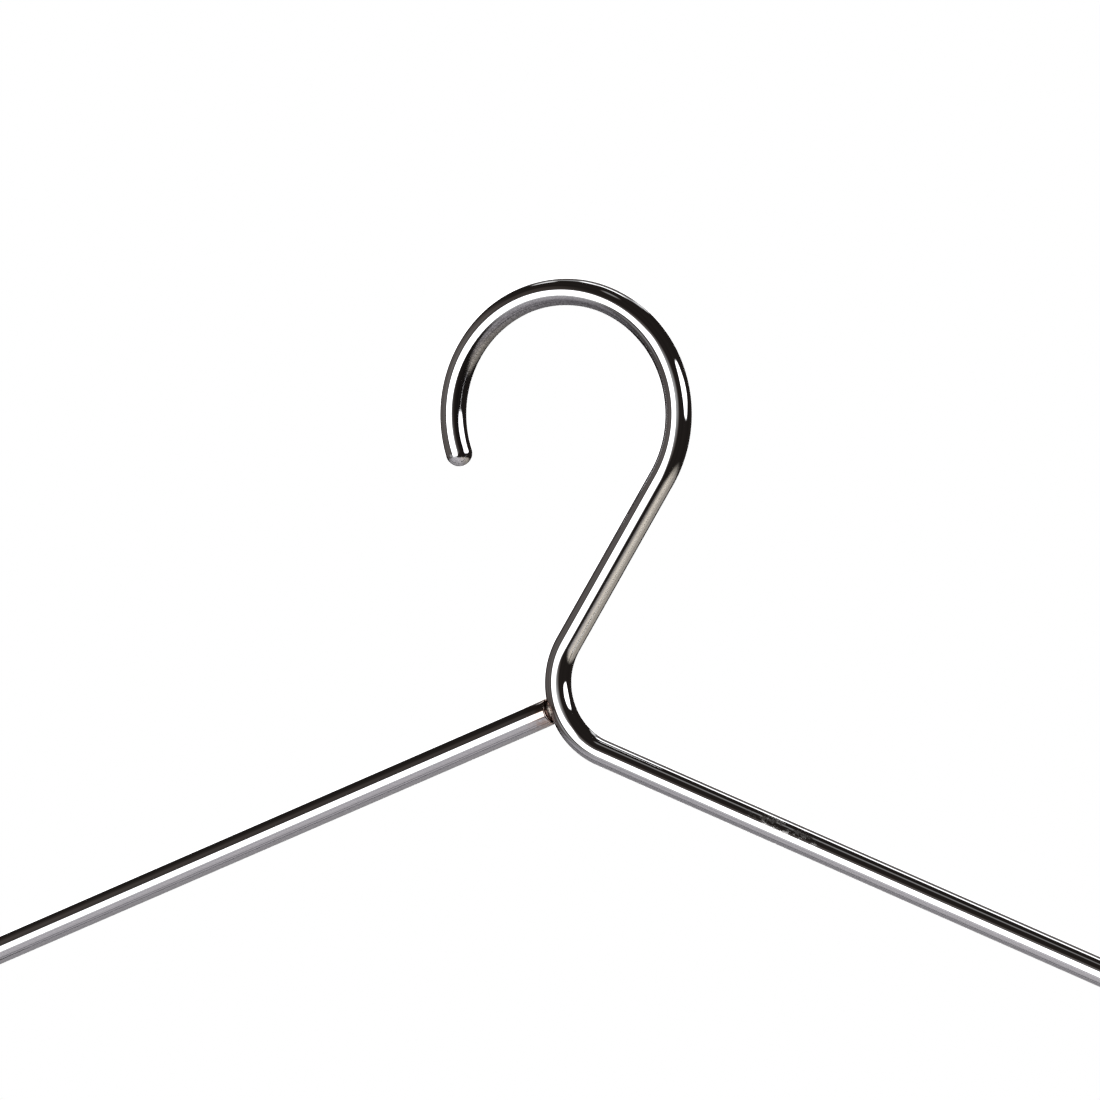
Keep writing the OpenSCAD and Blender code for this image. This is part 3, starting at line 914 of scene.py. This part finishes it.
def chrome_sheet_finish():
    finish, g = new_finish("chrome_sheet")
    place = g.place()
    pebble = g.noise(place, 900, detail=2)
    rub = g.noise(g.stretch(place, (1, 1, 0.2)), 160, detail=4)
    normal = g.bump(pebble + rub * 0.5, 0.6, 0.00001)
    rough = 0.06 + rub.rise(0.45, 0.75) * 0.11
    close_finish(g, Base_Color=(0.56, 0.56, 0.57), Metallic=1.0, Roughness=rough, Normal=normal)
    return finish


def weld_finish():
    finish, g = new_finish("weld_stain")
    place = g.place()
    blotch = g.noise(place, 900, detail=4, rough=0.6)
    grain = g.noise(place, 5000, detail=3)
    way = ray(ARM_FALL)
    past_end = (g.dot(place, (way[0], 0, way[1])) - float(arm_end @ way)) / STAIN_LONG
    share = past_end + (blotch - 0.5) * 0.7
    colour = g.node("ShaderNodeValToRGB", {"stops": STAIN_STOPS}, {"Fac": share})
    normal = g.bump(grain + blotch * 2, 0.6, 0.00003)
    close_finish(g, Base_Color=colour, Metallic=1.0, Roughness=0.28 + grain * 0.25, Normal=normal)
    return finish


def spring_finish():
    finish, g = new_finish("spring_steel")
    place = g.unbent_place()
    lines = g.noise(g.stretch(place, (1, 1, 0.03)), 5200, detail=3)
    stain = g.noise(place, 500, detail=3)
    colour = g.mix(stain.rise(0.45, 0.7), (0.52, 0.52, 0.53), (0.40, 0.395, 0.38))
    normal = g.bump(lines, 0.3, 0.000008)
    close_finish(g, Base_Color=colour, Metallic=1.0, Roughness=0.2 + lines * 0.16, Normal=normal)
    return finish


def pad_finish():
    finish, g = new_finish("soft_pad")
    place = g.place()
    grain = g.noise(place, 3500, detail=3)
    wear = g.noise(place, 260, detail=4)
    colour = g.mix(wear.rise(0.35, 0.8), (0.024, 0.024, 0.026), (0.036, 0.0355, 0.036))
    normal = g.bump(grain, 0.7, 0.00005)
    close_finish(g, Base_Color=colour, Roughness=0.5 + grain * 0.2, Normal=normal)
    return finish


for pieces, finish in (
    (jaws, chrome_sheet_finish()), ([weld], weld_finish()), (springs, spring_finish()), (pads, pad_finish())
):
    for piece in pieces:
        piece.data.materials.append(finish)
print("finishes:", [m.name for m in bpy.data.materials])

# %% [markdown]
# ## The studio
# Chrome has no colour of its own: it is a picture of the room. The bands on the wire say what stood round
# it: one big soft box to the left of the camera, a smaller one to the right, a third one far behind, a
# pale table top below, a round white reflector high up at the back with lamps at its rim, a dim lamp high
# up in front, and a dark, slightly warm room everywhere else. They are painted on the surroundings by
# direction. What the camera sees straight on is plain white.


# %% Shapes on the surroundings
def direction(turn, rise):
    """A unit vector turn degrees to the right of the camera and rise degrees up, seen from the hanger."""
    t, r = math.radians(turn), math.radians(rise)
    return (to_camera * math.cos(t) + to_right * math.sin(t)) * math.cos(r) + upward * math.sin(r)


def seen_flat(g, way, turn, rise):
    """Where a direction meets a screen one unit away that faces the hanger, and 1 if it is ahead."""
    centre = direction(turn, rise)
    across = upward.cross(centre).normalized()
    tall = centre.cross(across)
    ahead = g.dot(way, centre)
    safe = ahead.most(0.05)
    return g.dot(way, across) / safe, g.dot(way, tall) / safe, ahead.rise(0.05, 0.15)


def soft_box(g, way, turn, rise, half_w, half_h, edge):
    """1 inside a rectangle on that screen, fading over edge at its sides."""
    a, b, ahead = seen_flat(g, way, turn, rise)
    inside = a.size().rise(half_w + edge, half_w - edge) * b.size().rise(half_h + edge, half_h - edge)
    return inside * ahead


def key_box(g, way):
    """The big soft box: its top edge rises towards the camera, and its side there leans a little back."""
    a, b, ahead = seen_flat(g, way, -40, -5)
    top, low = (b - a * 0.30).rise(0.42, 0.33), b.rise(-0.46, -0.26)
    left, right = a.rise(-0.37, -0.24), (a + b * 0.1).rise(0.52, 0.36)
    return top * low * left * right * ahead


def round_box(g, way, turn, rise, half_w, half_h, edge):
    """1 inside an ellipse on that screen, fading over a share of its size."""
    a, b, ahead = seen_flat(g, way, turn, rise)
    out = ((a / half_w) ** 2 + (b / half_h) ** 2) ** 0.5
    return out.rise(1 + edge, 1 - edge) * ahead


def spot(g, way, turn, rise, radius, edge):
    """1 within radius degrees of a direction, fading over edge degrees."""
    near, far = math.cos(math.radians(radius - edge)), math.cos(math.radians(radius + edge))
    return g.dot(way, direction(turn, rise)).rise(far, near)


# %% Surroundings
ROOM_LEVEL = 0.022
ROOM_COLOUR = (1.0, 0.82, 0.74)
DISH = (175, 48.4)
# Strength, turn, rise, radius and edge of each patch of wall and each small lamp
SPOTS = [
    (0.13, -100, 2, 27, 16),  # the wall on the left
    (0.3, -77, -21, 8, 5),  # a pale patch low on the left
    (0.05, -66, 16, 18, 14),  # light spilt round the big soft box
    (0.34, -17, 67, 4, 2.5),  # the dim lamp high up in front
    (2.6, 151, 68, 7.0, 1.5),  # the lamps at the reflector's rim
    (1.8, 180, 69, 6, 1.5),
    (1.8, -134, 58, 5, 1.5),
]


def surroundings():
    world = bpy.data.worlds.new("studio")
    world.use_nodes = True
    bpy.context.scene.world = world
    g = Graph(world.node_tree)
    way = g.node("ShaderNodeTexCoord")
    key = key_box(g, way)
    spill = soft_box(g, way, -25, 5, 0.35, 0.20, 0.30)
    foot = soft_box(g, way, -45, -34, 0.35, 0.12, 0.14)
    side = round_box(g, way, 67, 14, 0.41, 0.31, 0.12)
    back = round_box(g, way, 189, 9, 0.42, 0.34, 0.15)
    dish_side = g.dot(way, to_right).rise(-0.5, 0.12)
    dish = spot(g, way, *DISH, 24.5, 1.2)
    dish_rim = dish - spot(g, way, *DISH, 18.5, 1.5)
    level = key * 4.0 + side * 4.0 + spill * 0.75 + foot * 1.1 + back * 3.0
    level = level + (dish * 0.16 + dish_rim.most(0) * 0.8) * dish_side
    level = level + sum(spot(g, way, *where) * strength for strength, *where in SPOTS)
    warm = g.mix(level.rise(0.0, 0.3), ROOM_COLOUR, (1, 1, 1))
    room = g.node("ShaderNodeBackground", None, {"Strength": level + ROOM_LEVEL, "Color": warm})
    white = g.node("ShaderNodeBackground", None, {"Strength": 1.0, "Color": (1, 1, 1, 1)})
    seen = g.node("ShaderNodeLightPath")
    both = g.node("ShaderNodeMixShader", None, {0: seen, 1: room, 2: white})
    g.node("ShaderNodeOutputWorld", None, {"Surface": both})


surroundings()

# %% [markdown]
# The table top is a pale disc under the hanger, thinned out towards its rim so that it has no edge. A wide
# lamp above lights it and the pads softly, and two small ones brighten it at the feet of the soft boxes.
# The lamps are kept out of reflections, as a photographer would flag them, because each would draw a line
# along every wire. The chrome also sees the table darker than the camera does, cool on the left and warm
# on the right, as if dark cloths lay just outside the picture.

# %% Table top and lamps
TABLE_Z = -0.30
TABLE_R = 0.62
TABLE_BACK = 0.15


def build_table(rings=24, sides=96):
    """Flat rings about a point that is a little further from the camera than the hanger."""
    r = np.linspace(0, 1, rings)[1:, None] * TABLE_R
    angle = np.linspace(0, 2 * math.pi, sides, endpoint=False)[None, :]
    middle = -TABLE_BACK * to_camera
    x, y = middle.x + r * np.cos(angle), middle.y + r * np.sin(angle)
    points = np.stack(np.broadcast_arrays(x, y, TABLE_Z + 0 * r), axis=-1)
    points = np.vstack([points.reshape(-1, 3), [middle.x, middle.y, TABLE_Z]])
    faces = grid_faces(rings - 1, sides) + fan(0, sides, (rings - 1) * sides, turned=True)
    return make_mesh_object("table_top", points, faces)


def table_finish():
    finish, g = new_finish("table_top")
    place = g.place()
    x, y, _ = g.parts(place)
    x, y = x + TABLE_BACK * to_camera.x, y + TABLE_BACK * to_camera.y
    out = (x * x + y * y) ** 0.5
    solid = out.rise(TABLE_R * 0.98, TABLE_R * 0.68)
    grain = g.noise(place, 60, detail=4)
    pale = g.mix(grain, (0.86, 0.86, 0.865), (0.89, 0.885, 0.88))
    to_side = (x * to_right.x + y * to_right.y).rise(0.0, 0.28)
    mirrored = g.mix(to_side, (0.345, 0.335, 0.355), (0.40, 0.375, 0.335))
    colour = g.mix(g.node("ShaderNodeLightPath"), mirrored, pale)
    paint = g.node("ShaderNodeBsdfPrincipled", None, {"Base Color": colour, "Roughness": 0.7})
    clear = g.node("ShaderNodeBsdfTransparent")
    both = g.node("ShaderNodeMixShader", None, {0: solid, 1: clear, 2: paint})
    g.node("ShaderNodeOutputMaterial", None, {"Surface": both})
    return finish


def add_lamp(name, place, size, energy, colour=(1, 1, 1)):
    """A round lamp that looks straight down and shows neither in the picture nor in the chrome."""
    data = bpy.data.lights.new(name, "AREA")
    data.shape, data.size, data.energy, data.color = "DISK", size, energy, colour
    lamp = bpy.data.objects.new(name, data)
    bpy.context.scene.collection.objects.link(lamp)
    lamp.location = place
    lamp.visible_camera = lamp.visible_glossy = False


table = build_table()
table.data.materials.append(table_finish())

key_foot = direction(-42, 0) * 0.40
side_foot = direction(55, 0) * 0.33
add_lamp("overhead", (0, 0, 1.3), 1.6, 14)
add_lamp("key_spill", (key_foot.x, key_foot.y, 0.1), 0.25, 2.2)
add_lamp("side_spill", (side_foot.x, side_foot.y, 0.1), 0.25, 2.4, (1.0, 0.95, 0.88))

# %% Picture settings
scene = bpy.context.scene
scene.view_settings.view_transform = "Standard"
scene.view_settings.look = "None"
